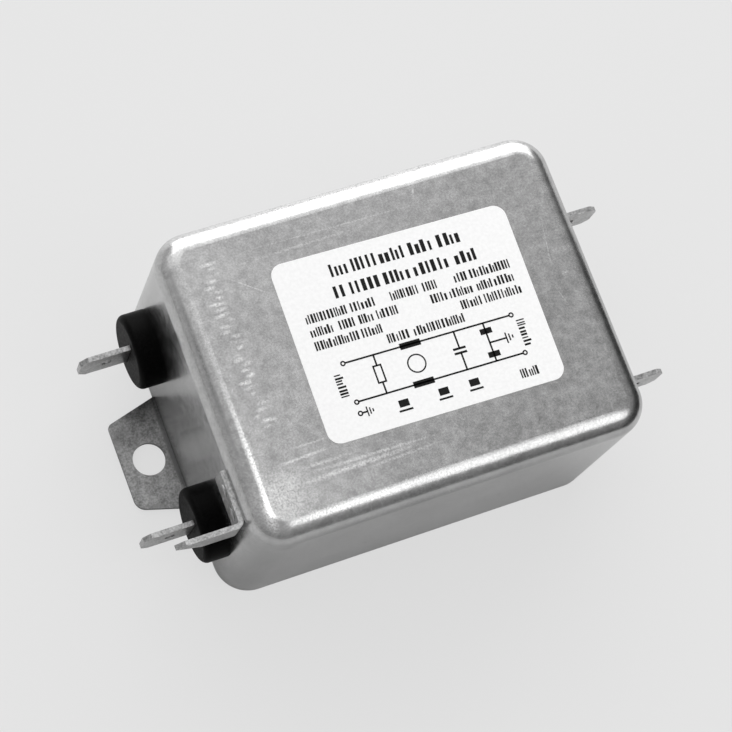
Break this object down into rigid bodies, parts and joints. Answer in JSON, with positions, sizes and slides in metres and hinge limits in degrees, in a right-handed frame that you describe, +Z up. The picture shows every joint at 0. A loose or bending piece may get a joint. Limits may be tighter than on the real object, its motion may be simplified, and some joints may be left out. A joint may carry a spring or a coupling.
{
  "type": "emi line filter",
  "caption": "Mains interference filter in a drawn metal can with a base plate, two mounting ears, insulated push-on blade terminals and an earth tab",
  "frame": {"origin": "middle of the mounting face: centre of the can footprint, on the underside of the base plate", "axes": "+X along the can from the line end to the load end and along the line of the two mounting holes, +Y across the can towards the back, +Z up through the labelled closed face"},
  "size_m": [0.089, 0.05, 0.0341],
  "materials": {
    "can_metal": "satin tin-plated drawn sheet, finely scratched",
    "plate_metal": "satin tin-plated sheet",
    "black_insulator": "moulded, semi-gloss black",
    "tinned_blade": "tinned strip, slightly matte",
    "fibre": "pressed fibre",
    "label_film": "white film with black line print",
    "core_coating": "coated ferrite",
    "enamelled_wire": "enamelled copper wire",
    "capacitor_box": "moulded box",
    "capacitor_disc": "dipped disc",
    "resistor_body": "lacquered body",
    "resin": "cast epoxy resin",
    "liner_sheet": "pressed insulating board"
  },
  "bodies": {
    "root": {"can": "can_metal", "base_plate": "plate_metal", "bushing_line_front": "black_insulator", "bushing_line_back": "black_insulator", "bushing_load_front": "black_insulator", "bushing_load_back": "black_insulator", "blade_line_front": "tinned_blade", "blade_line_back": "tinned_blade", "blade_load_front": "tinned_blade", "blade_load_back": "tinned_blade", "washer_line_front": "fibre", "washer_line_back": "fibre", "washer_load_front": "fibre", "washer_load_back": "fibre", "earth_tab": "tinned_blade", "label": "label_film", "choke_core": "core_coating", "choke_divider": "liner_sheet", "winding_front": "enamelled_wire", "winding_back": "enamelled_wire", "box_capacitor": "capacitor_box", "disc_capacitor_front": "capacitor_disc", "disc_capacitor_back": "capacitor_disc", "bleeder_resistor": "resistor_body", "potting_resin": "resin", "insulation_liner": "liner_sheet"}
  },
  "joints": []
}
